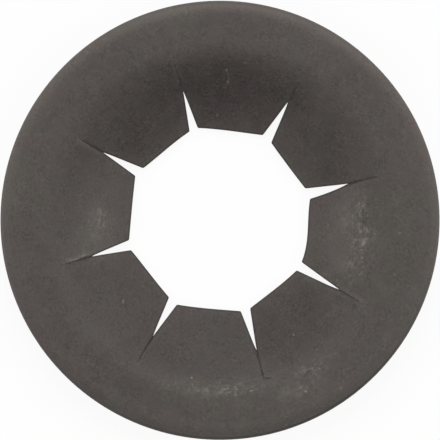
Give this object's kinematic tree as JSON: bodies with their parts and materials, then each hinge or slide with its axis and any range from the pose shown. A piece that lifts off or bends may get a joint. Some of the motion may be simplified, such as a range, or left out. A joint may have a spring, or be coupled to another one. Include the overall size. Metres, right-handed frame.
{
  "type": "push-on retaining washer (circlip)",
  "caption": "Grooveless push-on retaining washer: a dished spring steel ring with slit, flat-ended prongs that grip a plain round shaft, and a rolled rim.",
  "frame": {"origin": "on the shaft's axis, level with the lower edges of the prong ends, on which the washer rests", "axes": "+Z along the shaft's axis, out of the dished bearing face; +X through the middle of one prong"},
  "size_m": [0.019, 0.019, 0.0022],
  "materials": {
    "spring_steel": "dark brown-grey phosphated spring steel, matte and finely mottled, scuffed paler on the fold and rim"
  },
  "bodies": {
    "root": {"washer": "spring_steel"}
  },
  "joints": []
}
